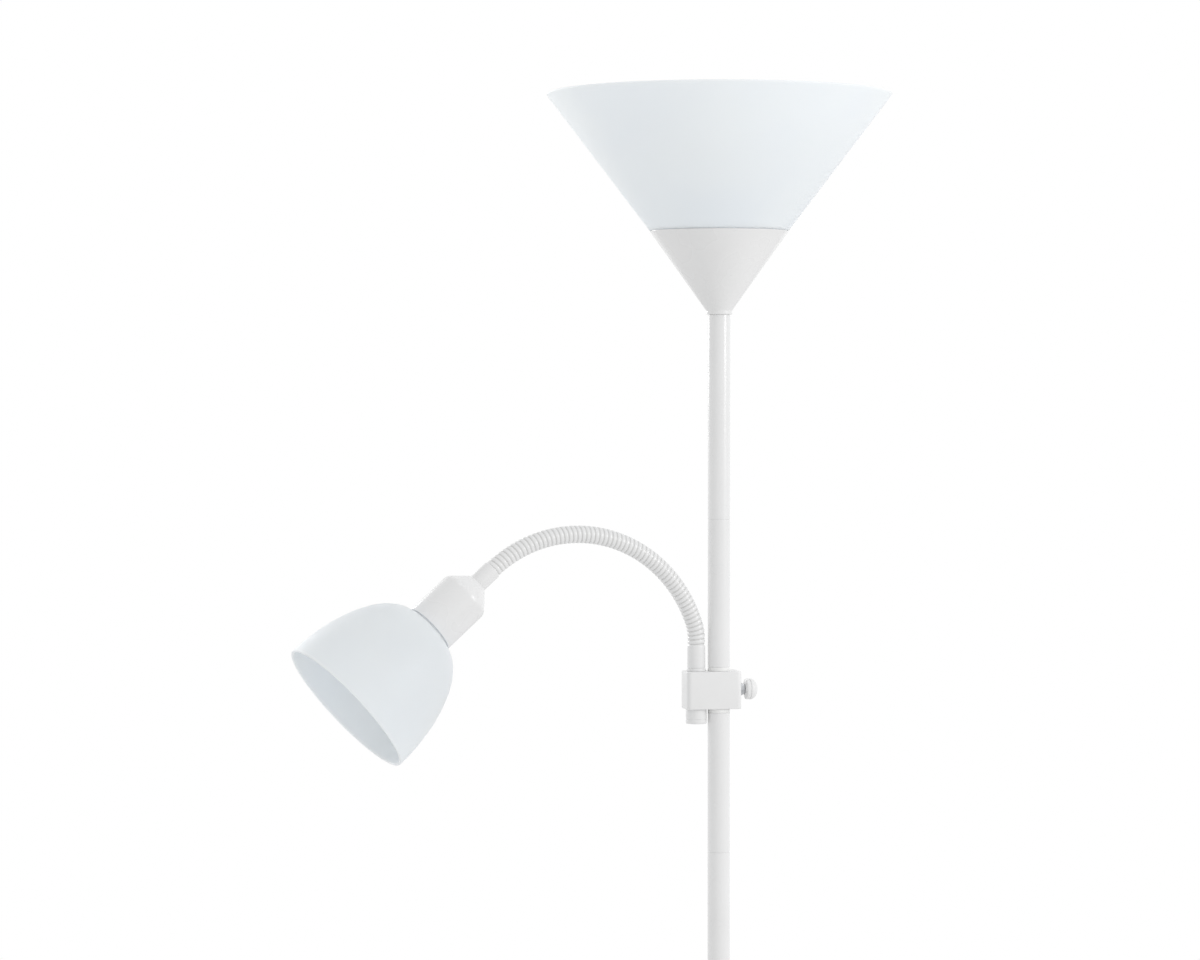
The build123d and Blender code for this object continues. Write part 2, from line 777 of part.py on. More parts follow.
def lamp_set(prefix, plane, floor, bulb_radius, bulb_length):
    """Lampholder, contacts, retaining ring and bulb, set in a shade whose floor is at a height."""
    mouth = floor + socket_proud
    low = mouth - socket_length
    well = low + socket_floor
    ring_low = floor + shade_wall + gap
    save(
        turned(
            [
                (nipple_radius + fit, low),
                (socket_radius - socket_edge, low),
                (socket_radius, low + socket_edge),
                (socket_radius, mouth),
                (socket_bore, mouth),
                (socket_bore, well),
                (nipple_radius + fit, well),
            ],
            plane,
        ),
        f"{prefix}_lampholder",
    )
    shell_top = mouth - ring_edge
    save(tube(shell_radius, shell_radius - shell_wall, well, shell_top, plane), f"{prefix}_screw_shell")
    save(
        turned(
            [
                (0, low + socket_floor / 2 + gap),
                (contact_radius, low + socket_floor / 2 + gap),
                (contact_radius, well),
                (nipple_radius, well),
                (nipple_radius, well + contact_height),
                (0, well + contact_height),
            ],
            plane,
        ),
        f"{prefix}_centre_contact",
    )
    save(
        turned(
            [
                (socket_radius + fit, ring_low),
                (ring_radius, ring_low),
                (ring_radius, ring_low + ring_thickness - ring_edge),
                (ring_radius - ring_edge, ring_low + ring_thickness),
                (socket_radius + fit, ring_low + ring_thickness),
            ],
            plane,
        ),
        f"{prefix}_shade_ring",
    )
    cap_low = mouth - bulb_cap_length
    tip = well + contact_height
    save(
        turned(
            [
                (0, tip),
                (contact_radius, tip),
                (bulb_cap_radius, cap_low),
                (bulb_cap_radius, mouth),
                (bulb_cap_radius - shell_wall, mouth),
                (bulb_cap_radius - shell_wall, cap_low + shell_wall),
                (contact_radius, tip + 2 * shell_wall),
                (0, tip + 2 * shell_wall),
            ],
            plane,
        ),
        f"{prefix}_bulb_cap",
    )
    top = mouth + bulb_length
    centre = top - bulb_radius
    waist_turn = radians(bulb_waist_angle)
    crown_turn = radians(bulb_crown_angle)
    with BuildPart() as glass:
        for shrink, mode in ((0, Mode.ADD), (bulb_glass_wall, Mode.SUBTRACT)):
            radius = bulb_radius - shrink
            neck = bulb_neck_radius - shrink
            low_end = mouth - bulb_stem if mode == Mode.ADD else mouth - bulb_stem - gap
            with BuildSketch(plane):
                with BuildLine():
                    stem = Line((neck, low_end), (neck, mouth + bulb_stem))
                    waist = (radius * cos(waist_turn), centre - radius * sin(waist_turn))
                    cheek = Line(stem @ 1, waist)
                    crown = ThreePointArc(
                        waist,
                        (radius * cos(crown_turn), centre + radius * sin(crown_turn)),
                        (0, centre + radius),
                    )
                    Line(crown @ 1, (0, low_end))
                    Line((0, low_end), stem @ 0)
                make_face()
            revolve(axis=Axis(plane.origin, plane.y_dir), mode=mode)
    save(glass, f"{prefix}_bulb_glass")


lamp_set("reading", head_plane, holder_length, small_bulb_radius, small_bulb_length)

# The neck's cable runs from its terminal through the stud, the neck and the sleeve to the lampholder.
arm_plane = Plane(origin=(-neck_offset, 0, 0), x_dir=arm_out, z_dir=-sideways)
with BuildPart() as neck_cable:
    with BuildLine(arm_plane) as route:
        run = Line((-neck_offset + neck_cable_end, housing_middle), (-neck_lead_turn, housing_middle))
        rise = JernArc(run @ 1, run % 1, neck_lead_turn, 90)
        stem = Line(rise @ 1, (0, neck_foot.Z + neck_straight))
        low_arc = JernArc(stem @ 1, stem % 1, neck_small_radius, -neck_small_angle)
        high_arc = JernArc(low_arc @ 1, low_arc % 1, neck_large_radius, -large_arc_angle)
        Line(high_arc @ 1, (high_arc @ 1) + (high_arc % 1) * (sleeve_length + stud_end))
    with BuildSketch(Plane(origin=run @ 0, z_dir=run % 0)):
        Circle(neck_lead_radius)
    sweep(path=route.wires()[0])
save(neck_cable, "neck_cable")

# ---------------------------------------------------------------- uplight

with BuildPart() as uplight_cap:
    cone_low = pole_top + cap_collar_height
    cone_slope = (cap_rim_radius - cap_collar_radius) / (shade_low - cone_low)
    boss_top = pole_top + cap_boss_height
    boss_edge = cap_collar_radius + (boss_top - cone_low) * cone_slope - cap_wall
    with BuildSketch(Plane.XZ):
        with BuildLine():
            Polyline(
                (nipple_radius + fit, pole_top),
                (cap_collar_radius, pole_top),
                (cap_collar_radius, cone_low),
                (cap_rim_radius, shade_low),
                (cap_rim_radius - cap_wall, shade_low),
                (boss_edge, boss_top),
                (nipple_radius + fit, boss_top),
                close=True,
            )
        make_face()
    revolve(axis=Axis.Z)
save(uplight_cap, "uplight_cap")

with BuildPart() as uplight_shade:
    shade_slope = (uplight_rim_radius - cap_rim_radius) / uplight_shade_height
    level_wall = shade_wall * hypot(1, shade_slope)
    floor_edge = cap_rim_radius + shade_wall * shade_slope - level_wall
    with BuildSketch(Plane.XZ):
        with BuildLine():
            Polyline(
                (shade_hole_radius, shade_low),
                (cap_rim_radius - soft_edge, shade_low),
                (cap_rim_radius, shade_low + soft_edge),
                (uplight_rim_radius, rim_height),
                (uplight_rim_radius - level_wall, rim_height),
                (floor_edge, shade_low + shade_wall),
                (shade_hole_radius, shade_low + shade_wall),
                close=True,
            )
        make_face()
    revolve(axis=Axis.Z)
save(uplight_shade, "uplight_shade")

lamp_set("uplight", Plane.XZ, shade_low, large_bulb_radius, large_bulb_length)

print(f"height {rim_height} mm, neck {neck_length:.1f} mm, rib pitch {rib_pitch:.2f} mm")
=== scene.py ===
import json
from math import atan, cos, pi, radians, sin, sqrt, tan, tau

import bmesh
import bpy
from mathutils import Matrix, Vector


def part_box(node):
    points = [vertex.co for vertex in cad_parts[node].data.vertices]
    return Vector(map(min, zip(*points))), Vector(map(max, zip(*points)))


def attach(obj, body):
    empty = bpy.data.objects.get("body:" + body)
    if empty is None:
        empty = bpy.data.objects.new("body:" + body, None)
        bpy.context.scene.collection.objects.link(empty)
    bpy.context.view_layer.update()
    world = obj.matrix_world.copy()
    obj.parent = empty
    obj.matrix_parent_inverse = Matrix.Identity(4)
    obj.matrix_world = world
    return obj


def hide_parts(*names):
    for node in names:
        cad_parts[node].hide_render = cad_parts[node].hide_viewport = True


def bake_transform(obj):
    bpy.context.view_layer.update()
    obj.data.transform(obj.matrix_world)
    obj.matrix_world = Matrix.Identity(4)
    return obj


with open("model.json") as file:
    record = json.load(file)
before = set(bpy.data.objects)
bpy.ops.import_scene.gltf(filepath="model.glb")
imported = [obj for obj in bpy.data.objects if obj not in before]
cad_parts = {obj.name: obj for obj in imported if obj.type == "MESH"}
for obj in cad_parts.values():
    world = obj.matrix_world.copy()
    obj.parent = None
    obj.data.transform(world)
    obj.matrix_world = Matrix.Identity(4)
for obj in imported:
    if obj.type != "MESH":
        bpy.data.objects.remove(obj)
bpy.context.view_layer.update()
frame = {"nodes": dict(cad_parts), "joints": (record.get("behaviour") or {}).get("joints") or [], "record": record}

# A white torchiere floor lamp with a reading light on a gooseneck, in metres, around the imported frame.

MM = 0.001
UP = Vector((0, 0, 1))
nodes = frame["nodes"]
joints = {joint["name"]: joint for joint in frame["joints"]}


def low(node):
    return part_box(node)[0]


def high(node):
    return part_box(node)[1]


# ---------------------------------------------------------------- the gooseneck's centreline

neck_straight = 3 * MM
small_radius, small_angle = 40 * MM, radians(20)
large_radius, total_angle = 100.5 * MM, radians(130.8)
sleeve_length = 16 * MM
sideways = Vector(joints["neck_bend_1"]["axis"])
arm_out = sideways.cross(UP)
neck_x, neck_y, _ = joints["neck_swivel"]["pos_m"]
neck_foot = Vector((neck_x, neck_y, high("neck_ferrule").z))
small_arc = small_radius * small_angle
neck_length = neck_straight + small_arc + large_radius * (total_angle - small_angle)
segment_count = 10
segment_length = neck_length / segment_count


def neck_place(s):
    """The frame square to the neck at a length s: x sideways, z along the neck."""
    first = min(max(s - neck_straight, 0) / small_radius, small_angle)
    second = min(max(s - neck_straight - small_arc, 0) / large_radius, total_angle - small_angle)
    heading = first + second
    out = small_radius * (1 - cos(first)) + large_radius * (cos(first) - cos(heading))
    up = min(s, neck_straight) + small_radius * sin(first) + large_radius * (sin(heading) - sin(first))
    beyond = max(s - neck_length, 0)
    along = arm_out * sin(heading) + UP * cos(heading)
    spot = neck_foot + arm_out * out + UP * up + along * beyond
    across = along.cross(sideways)
    turn = Matrix((sideways, across, along)).transposed().to_4x4()
    return Matrix.Translation(spot) @ turn


head_place = neck_place(neck_length + sleeve_length)

# ---------------------------------------------------------------- materials


def srgb(red, green, blue):
    """A colour as it shows on a screen, 0 to 255, as the shader's linear colour."""
    shares = [value / 255 for value in (red, green, blue)]
    return [v / 12.92 if v <= 0.04045 else ((v + 0.055) / 1.055) ** 2.4 for v in shares] + [1]


def new_material(name, colour, roughness, **sockets):
    material = bpy.data.materials.new(name)
    material.use_nodes = True
    shader = material.node_tree.nodes["Principled BSDF"]
    shader.inputs["Base Color"].default_value = colour
    shader.inputs["Roughness"].default_value = roughness
    for socket, value in sockets.items():
        shader.inputs[socket.replace("_", " ")].default_value = value
    material.diffuse_color = colour
    return material


def pattern(material, scale, detail=2.0, stretch=(1, 1, 1)):
    """A noise on the piece's own coordinates; scale is in lumps per metre."""
    tree = material.node_tree
    place = tree.nodes.new("ShaderNodeTexCoord")
    mapping = tree.nodes.new("ShaderNodeMapping")
    mapping.inputs["Scale"].default_value = stretch
    noise = tree.nodes.new("ShaderNodeTexNoise")
    noise.inputs["Scale"].default_value = scale
    noise.inputs["Detail"].default_value = detail
    tree.links.new(place.outputs["Object"], mapping.inputs["Vector"])
    tree.links.new(mapping.outputs["Vector"], noise.inputs["Vector"])
    return noise.outputs["Fac"]


def ranged(material, factor, from_low, from_high, to_low, to_high):
    tree = material.node_tree
    spread = tree.nodes.new("ShaderNodeMapRange")
    for socket, value in (
        ("From Min", from_low),
        ("From Max", from_high),
        ("To Min", to_low),
        ("To Max", to_high),
    ):
        spread.inputs[socket].default_value = value
    tree.links.new(factor, spread.inputs["Value"])
    return spread.outputs["Result"]


def toned(material, factor, colour_low, colour_high, under=None):
    """Runs the base colour between two tones; under is a colour output to lay the second tone on."""
    tree = material.node_tree
    mix = tree.nodes.new("ShaderNodeMix")
    mix.data_type = "RGBA"
    mix.inputs["A"].default_value = colour_low
    mix.inputs["B"].default_value = colour_high
    tree.links.new(factor, mix.inputs["Factor"])
    if under:
        tree.links.new(under, mix.inputs["A"])
    result = next(o for o in mix.outputs if o.type == "RGBA")
    tree.links.new(result, tree.nodes["Principled BSDF"].inputs["Base Color"])
    return result


def uneven_gloss(material, factor, smooth, rough):
    tree = material.node_tree
    result = ranged(material, factor, 0.3, 0.7, smooth, rough)
    tree.links.new(result, tree.nodes["Principled BSDF"].inputs["Roughness"])


def relief(material, height, depth, strength=1.0, under=None):
    """Bumps as deep as depth, in metres, laid on an earlier bump if one is given."""
    tree = material.node_tree
    bump = tree.nodes.new("ShaderNodeBump")
    bump.inputs["Distance"].default_value = depth
    bump.inputs["Strength"].default_value = strength
    tree.links.new(height, bump.inputs["Height"])
    if under:
        tree.links.new(under, bump.inputs["Normal"])
    tree.links.new(bump.outputs["Normal"], tree.nodes["Principled BSDF"].inputs["Normal"])
    return bump.outputs["Normal"]


def frosted_shade(name, colour, cloud):
    """Frosted translucent plastic: light comes through the wall, and the skin has a fine grain."""
    material = new_material(
        name,
        colour,
        0.5,
        Subsurface_Weight=1.0,
        Subsurface_Scale=8 * MM,
        Subsurface_Radius=(1.0, 1.0, 1.0),
        Specular_IOR_Level=0.35,
    )
    clouds = pattern(material, 14, 1.5)
    toned(material, ranged(material, clouds, 0.35, 0.65, 0, 1), colour, cloud)
    uneven_gloss(material, pattern(material, 60, 2), 0.42, 0.55)
    grain = relief(material, pattern(material, 1800, 2), 0.04 * MM)
    relief(material, pattern(material, 45, 1), 0.2 * MM, 0.5, grain)
    return material


def sprayed_paint(name, colour, tint, gloss=(0.24, 0.32), peel=0.002 * MM):
    """Sprayed enamel over metal: a fine orange peel and a clear gloss."""
    material = new_material(name, colour, 0.3, Coat_Weight=0.25, Coat_Roughness=0.12, Specular_IOR_Level=0.5)
    toned(material, ranged(material, pattern(material, 30, 2), 0.25, 0.75, 0, 1), colour, tint)
    uneven_gloss(material, pattern(material, 60, 1), *gloss)
    relief(material, pattern(material, 420, 1), peel)
    return material


def wound_paint(name, colour, groove_shade_colour):
    """The gooseneck's paint, with painted shade that greys it down in the grooves between the turns."""
    material = sprayed_paint(name, colour, srgb(235, 235, 235))
    tree = material.node_tree
    groove = tree.nodes.new("ShaderNodeAttribute")
    groove.attribute_name = "groove"
    shader = tree.nodes["Principled BSDF"]
    paint = shader.inputs["Base Color"].links[0].from_socket
    # Painted shade: the paint runs to the darker groove colour where the groove mask is deep.
    toned(material, ranged(material, groove.outputs["Fac"], 0.25, 1.0, 0, 1), colour, groove_shade_colour, paint)
    return material


def moulded_plastic(name, colour, tint, gloss, depth=0.04 * MM):
    """Moulded plastic with a fine spark-eroded texture."""
    material = new_material(name, colour, 0.35, Specular_IOR_Level=0.5)
    toned(material, ranged(material, pattern(material, 40, 2), 0.3, 0.7, 0, 1), colour, tint)
    uneven_gloss(material, pattern(material, 150, 2), *gloss)
    relief(material, pattern(material, 1600, 3), depth)
    return material


def worked_metal(name, colour, tint, gloss, stretch):
    """Bare metal with fine turning or drawing marks along one way."""
    material = new_material(name, colour, 0.3, Metallic=1.0)
    marks = pattern(material, 900, 3, stretch)
    toned(material, ranged(material, marks, 0.3, 0.7, 0, 1), colour, tint)
    uneven_gloss(material, marks, *gloss)
    relief(material, marks, 0.02 * MM)
    return material


def cast_metal(name, colour, tint):
    material = new_material(name, colour, 0.75, Metallic=0.4)
    toned(material, ranged(material, pattern(material, 120, 4), 0.3, 0.7, 0, 1), colour, tint)
    relief(material, pattern(material, 700, 4), 0.3 * MM)
    return material


def pressed_felt(name, colour, fibre):
    """Pressed felt: short matted fibres under a soft nap."""
    material = new_material(name, colour, 0.95, Sheen_Weight=0.4, Sheen_Roughness=0.5)
    fibres = pattern(material, 1400, 6, (1, 0.35, 1))
    toned(material, ranged(material, fibres, 0.35, 0.65, 0, 1), colour, fibre)
    relief(material, fibres, 0.3 * MM)
    return material


def opal_glass(name, colour):
    """A bulb's glass with its white diffusing coat inside."""
    material = new_material(
        name,
        colour,
        0.12,
        Coat_Weight=0.6,
        Coat_Roughness=0.04,
        Subsurface_Weight=0.5,
        Subsurface_Scale=3 * MM,
        Subsurface_Radius=(1.0, 1.0, 1.0),
    )
    toned(material, pattern(material, 70, 2), colour, srgb(238, 238, 233))
    uneven_gloss(material, pattern(material, 50, 1), 0.08, 0.16)
    return material


frosted = frosted_shade("frosted_plastic", srgb(232, 240, 248), srgb(229, 237, 246))
paint = sprayed_paint("white_enamel", srgb(238, 238, 238), srgb(235, 235, 235))
pole_paint = sprayed_paint("pole_enamel", srgb(238, 238, 238), srgb(235, 235, 235), (0.2, 0.28))
# The second colour is painted shade for the grooves between the neck's turns.
neck_paint = wound_paint("neck_enamel", srgb(238, 238, 238), srgb(216, 216, 215))
gloss_plastic = moulded_plastic(
    "white_plastic", srgb(238, 238, 238), srgb(235, 235, 235), (0.28, 0.38), 0.02 * MM
)
light_plastic = moulded_plastic("pale_plastic", srgb(246, 246, 245), srgb(240, 240, 239), (0.35, 0.5))
dark_plastic = moulded_plastic("dark_plastic", srgb(44, 43, 42), srgb(54, 53, 52), (0.35, 0.55))
cable_skin = moulded_plastic("cable_skin", srgb(232, 232, 228), srgb(224, 224, 220), (0.45, 0.6), 0.02 * MM)
steel = worked_metal("zinc_plated_steel", srgb(196, 198, 200), srgb(180, 182, 186), (0.25, 0.4), (1, 1, 12))
brass = worked_metal("brass", srgb(206, 174, 104), srgb(186, 152, 84), (0.25, 0.4), (1, 1, 10))
bare_aluminium = worked_metal(
    "bare_aluminium", srgb(206, 207, 208), srgb(190, 191, 193), (0.3, 0.45), (1, 1, 8)
)
iron = cast_metal("cast_iron", srgb(70, 70, 72), srgb(54, 54, 56))
felt = pressed_felt("felt", srgb(58, 58, 60), srgb(84, 84, 88))
opal = opal_glass("opal_glass", srgb(244, 244, 240))

finish_of_slot = {
    "felt": felt,
    "weight": iron,
    "white_paint": paint,
    "pole_paint": pole_paint,
    "neck_paint": neck_paint,
    "frosted_plastic": frosted,
    "white_plastic": gloss_plastic,
    "light_plastic": light_plastic,
    "dark_plastic": dark_plastic,
    "steel": steel,
    "brass": brass,
    "bare_aluminium": bare_aluminium,
    "cable": cable_skin,
    "bulb_glass": opal,
}
slot_of_node = {part["node"]: part["material_slot"] for part in frame["record"]["subparts"]}
for name, node in nodes.items():
    node.data.materials.clear()
    node.data.materials.append(finish_of_slot[slot_of_node[name]])

# ---------------------------------------------------------------- pieces made by turning


def rounded(corners, steps=6):
    """An outline from corners (radius, height, rounding), with each rounding as an arc."""
    points = []
    for i, (radius, height, rounding) in enumerate(corners):
        here = Vector((radius, height))
        if not rounding:
            points.append(here)
            continue
        before = (Vector(corners[i - 1][:2]) - here).normalized()
        after = (Vector(corners[(i + 1) % len(corners)][:2]) - here).normalized()
        half = before.angle(after) / 2
        centre = here + (before + after).normalized() * rounding / sin(half)
        spoke = here + before * rounding / tan(half) - centre
        swing = (here + after * rounding / tan(half) - centre).angle_signed(spoke)
        points += [centre + Matrix.Rotation(swing * k / steps, 2) @ spoke for k in range(steps + 1)]
    return points


def finish_piece(mesh, name, body, slot, *replaced, place=Matrix.Identity(4)):
    """Turns a bmesh into a piece that rides on a body and stands for CAD nodes."""
    bmesh.ops.recalc_face_normals(mesh, faces=mesh.faces)
    mesh.transform(place)
    data = bpy.data.meshes.new(name)
    mesh.to_mesh(data)
    mesh.free()
    data.shade_smooth()
    data.set_sharp_from_angle(angle=radians(35))
    piece = bpy.data.objects.new(name, data)
    bpy.context.scene.collection.objects.link(piece)
    data.materials.append(finish_of_slot[slot])
    if body:
        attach(piece, body)
    if replaced:
        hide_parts(*replaced)
    return piece


def turned(outline, steps=192, closed=True):
    """A bmesh turned about the upright axis from an outline of (radius, height) points."""
    mesh = bmesh.new()
    corners = [mesh.verts.new((point[0], 0, point[1])) for point in outline]
    edges = [mesh.edges.new(pair) for pair in zip(corners, corners[1:])]
    if closed:
        edges.append(mesh.edges.new((corners[-1], corners[0])))
    bmesh.ops.spin(
        mesh,
        geom=corners + edges,
        cent=(0, 0, 0),
        axis=UP,
        angle=tau,
        steps=steps,
        use_merge=True,
    )
    bmesh.ops.remove_doubles(mesh, verts=mesh.verts, dist=1e-6)
    return mesh


def along(direction, spot):
    """Where a turned piece stands: its axis points along a direction, from a spot."""
    return Matrix.Translation(spot) @ UP.rotation_difference(direction).to_matrix().to_4x4()


def block(lowest, highest):
    """A bmesh box between two corners."""
    mesh = bmesh.new()
    bmesh.ops.create_cube(mesh, size=1)
    bmesh.ops.scale(mesh, verts=mesh.verts, vec=highest - lowest)
    bmesh.ops.translate(mesh, verts=mesh.verts, vec=(lowest + highest) / 2)
    return mesh


def rod(radius, start, end, place=Matrix.Identity(4)):
    """A bmesh cylinder between two heights, to cut holes with."""
    mesh = bmesh.new()
    middle = place @ Matrix.Translation(UP * (start + end) / 2)
    bmesh.ops.create_cone(
        mesh, cap_ends=True, segments=64, radius1=radius, radius2=radius, depth=end - start, matrix=middle
    )
    return mesh


def round_off(mesh, edges, radius, segments):
    bmesh.ops.bevel(
        mesh,
        geom=edges,
        offset=radius,
        offset_type="OFFSET",
        affect="EDGES",
        segments=segments,
        profile=0.5,
        material=-1,
    )


def cut_out(piece, *shapes):
    """Cuts bmeshes out of a piece."""
    cutters = []
    for shape in shapes:
        data = bpy.data.meshes.new("cutter")
        shape.to_mesh(data)
        shape.free()
        cutters.append(bpy.data.objects.new("cutter", data))
        bpy.context.scene.collection.objects.link(cutters[-1])
        cut = piece.modifiers.new("cut", "BOOLEAN")
        cut.object = cutters[-1]
        cut.solver = "MANIFOLD"
    cut_piece = piece.evaluated_get(bpy.context.evaluated_depsgraph_get())
    data = bpy.data.meshes.new_from_object(cut_piece)
    data.set_sharp_from_angle(angle=radians(35))
    piece.modifiers.clear()
    piece.data = data
    for cutter in cutters:
        bpy.data.objects.remove(cutter)


# ---------------------------------------------------------------- base

fit, gap = 0.05 * MM, 0.3 * MM
nipple_hole = 5 * MM + gap
base_radius = high("base_cover").x
cover_low, cover_top = low("base_cover").z, high("base_cover").z
cover_wall = 1.2 * MM
base_skirt = 13 * MM
shoulder_in, shoulder_up = 6 * MM, 3 * MM
collar_radius = high("base_collar").x
collar_top = high("base_collar").z
pole_radius = high("pole_tube_1").x

pad_radius, pad_top = high("base_felt_pad").x, high("base_felt_pad").z
pad_edge = 0.7 * MM
pad_outline = [(0, 0, 0), (pad_radius, 0, pad_edge), (pad_radius, pad_top, pad_edge), (0, pad_top, 0)]
finish_piece(
    turned(rounded(pad_outline), 256, False),
    "felt_pad",
    "stand",
    "felt",
    "base_felt_pad",
)

dome_edge = base_skirt + shoulder_up
dome_fall = (cover_top - dome_edge) / (base_radius - shoulder_in - collar_radius - shoulder_in)
brow = dome_edge - shoulder_in * dome_fall
cover_outline = [
    (nipple_hole, cover_top, 0),
    (collar_radius + shoulder_in, cover_top, 30 * MM),
    (base_radius, brow, 5.5 * MM),
    (base_radius, cover_low, 0.5 * MM),
    (base_radius - cover_wall, cover_low, 0.5 * MM),
    (base_radius - cover_wall, brow - cover_wall, 4.5 * MM),
    (collar_radius + shoulder_in, cover_top - cover_wall, 30 * MM),
    (nipple_hole, cover_top - cover_wall, 0),
]
base_shell = finish_piece(
    turned(rounded(cover_outline, 10), 256), "base_shell", "stand", "white_paint", "base_cover"
)
inlet_height = (low("cable_inlet_bush").z + high("cable_inlet_bush").z) / 2
inlet_hole = 3.2 * MM + fit
inlet_place = along(Vector((1, 0, 0)), UP * inlet_height)
cut_out(base_shell, rod(inlet_hole, base_radius / 2, 2 * base_radius, inlet_place))

finish_piece(
    turned(
        rounded(
            [
                (nipple_hole, cover_top, 0),
                (collar_radius, cover_top, 0.5 * MM),
                (collar_radius, cover_top + 2.5 * MM, 1.6 * MM),
                (pole_radius + 1 * MM, collar_top, 1 * MM),
                (nipple_hole, collar_top, 0),
            ]
        )
    ),
    "base_collar_ring",
    "stand",
    "white_paint",
    "base_collar",
)

# ---------------------------------------------------------------- spacer rings at the switch housing

front_corner, rear_corner = low("switch_housing"), high("switch_housing_cover")
spacer_height = 3 * MM
for name, ring_low in (
    ("lower_spacer_ring", front_corner.z - spacer_height),
    ("upper_spacer_ring", rear_corner.z),
):
    finish_piece(
        turned(
            rounded(
                [
                    (nipple_hole, ring_low, 0),
                    (pole_radius, ring_low, 0.6 * MM),
                    (pole_radius, ring_low + spacer_height, 0.6 * MM),
                    (nipple_hole, ring_low + spacer_height, 0),
                ]
            )
        ),
        name,
        "stand",
        "light_plastic",
        "pole_spacers",
    )

# ---------------------------------------------------------------- switch housing

cover_face = low("switch_housing_cover").y
housing_wall = 2 * MM
corner_round, edge_round, inner_round = 3.5 * MM, 0.8 * MM, 1 * MM
parting_line = 0.15 * MM
housing_middle = joints["switch_turn"]["pos_m"][2]
inside = Vector((housing_wall, housing_wall, housing_wall))


def runs_along(edge, axis):
    step = edge.verts[1].co - edge.verts[0].co
    return abs(step[axis]) > 0.99 * step.length


def housing_side(side):
    """The housing's rounded outside on one side of its parting face, with a fine line where the two meet."""
    mesh = block(front_corner, rear_corner)
    round_off(mesh, [edge for edge in mesh.edges if runs_along(edge, 2)], corner_round, 8)
    ends = [face for face in mesh.faces if abs(face.normal.z) > 0.99]
    round_off(mesh, list({edge for face in ends for edge in face.edges}), edge_round, 4)
    cut = bmesh.ops.bisect_plane(
        mesh,
        geom=mesh.verts[:] + mesh.edges[:] + mesh.faces[:],
        plane_co=(0, cover_face, 0),
        plane_no=(0, side, 0),
        clear_outer=True,
    )["geom_cut"]
    rim = [part for part in cut if isinstance(part, bmesh.types.BMEdge)]
    bmesh.ops.holes_fill(mesh, edges=rim)
    round_off(mesh, [edge for edge in rim if edge.is_valid], parting_line, 1)
    return mesh


housing_box = finish_piece(housing_side(1), "housing_box", "stand", "white_plastic", "switch_housing")
cavity_end = Vector((rear_corner.x, cover_face + 2 * housing_wall, rear_corner.z)) - inside
cavity = block(front_corner + inside, cavity_end)
round_off(cavity, [edge for edge in cavity.edges if runs_along(edge, 1)], inner_round, 4)
stud_place = along(UP, Vector((neck_x, neck_y, 0)))
bush_place = along(Vector((1, 0, 0)), UP * housing_middle)
cut_out(
    housing_box,
    cavity,
    rod(5 * MM + fit, front_corner.z - housing_wall, rear_corner.z + housing_wall),
    rod(4.58 * MM, front_corner.z - housing_wall, rear_corner.z + housing_wall, stud_place),
    rod(3.5 * MM + fit, rear_corner.x - 2 * housing_wall, rear_corner.x + housing_wall, bush_place),
)

screw_head, screw_shank, head_depth, shank_length = 2.4 * MM, 1.2 * MM, 1.3 * MM, 10 * MM
slot_width, slot_arm, turn_between_screws = 0.5 * MM, 1.1 * MM, 0.7
screws_low, screws_high = low("housing_screws"), high("housing_screws")
screw_places = [
    along(Vector((0, 1, 0)), Vector((x, rear_corner.y - head_depth, z)))
    for x in (screws_low.x + screw_head, screws_high.x - screw_head)
    for z in (screws_low.z + screw_head, screws_high.z - screw_head)
]
housing_lid = finish_piece(housing_side(-1), "housing_lid", "stand", "white_plastic", "switch_housing_cover")
cut_out(
    housing_lid,
    *[rod(screw_head + fit, 0, 2 * head_depth, place) for place in screw_places],
    *[rod(screw_shank + 2 * fit, -2 * housing_wall, head_depth, place) for place in screw_places],
)


def cross_slot(width, arm, place):
    """The cross recess of a screw, as a shape to cut out."""
    mesh = bmesh.new()
    bmesh.ops.create_cube(mesh, size=width)
    for way in (Vector((1, 0, 0)), Vector((-1, 0, 0)), Vector((0, 1, 0)), Vector((0, -1, 0))):
        mesh.normal_update()
        end = max(mesh.faces, key=lambda face: face.normal.dot(way) + face.calc_center_median().dot(way))
        made = bmesh.ops.extrude_face_region(mesh, geom=[end])["geom"]
        bmesh.ops.delete(mesh, geom=[end], context="FACES_ONLY")
        tips = [part for part in made if isinstance(part, bmesh.types.BMVert)]
        bmesh.ops.translate(mesh, verts=tips, vec=way * arm)
    bmesh.ops.scale(mesh, verts=mesh.verts, vec=(1, 1, 3))
    bmesh.ops.recalc_face_normals(mesh, faces=mesh.faces)
    mesh.transform(place)
    return mesh


screw_outline = [
    (0, -shank_length, 0),
    (screw_shank / 3, -shank_length, 0),
    (screw_shank, -shank_length + 1 * MM, 0),
    (screw_shank, 0, 0),
    (screw_head, 0, 0.15 * MM),
    (screw_head, head_depth - 3 * fit, 0.6 * MM),
    (0, head_depth - 2 * fit, 0),
]
for number, place in enumerate(screw_places, 1):
    screw = finish_piece(
        turned(rounded(screw_outline), 64, False),
        f"housing_screw_{number}",
        "stand",
        "steel",
        "housing_screws",
        place=place,
    )
    turn = Matrix.Rotation(turn_between_screws * number, 4, "Z") @ Matrix.Translation(UP * head_depth)
    cut_out(screw, cross_slot(slot_width, slot_arm, place @ turn))

# ---------------------------------------------------------------- switch knob

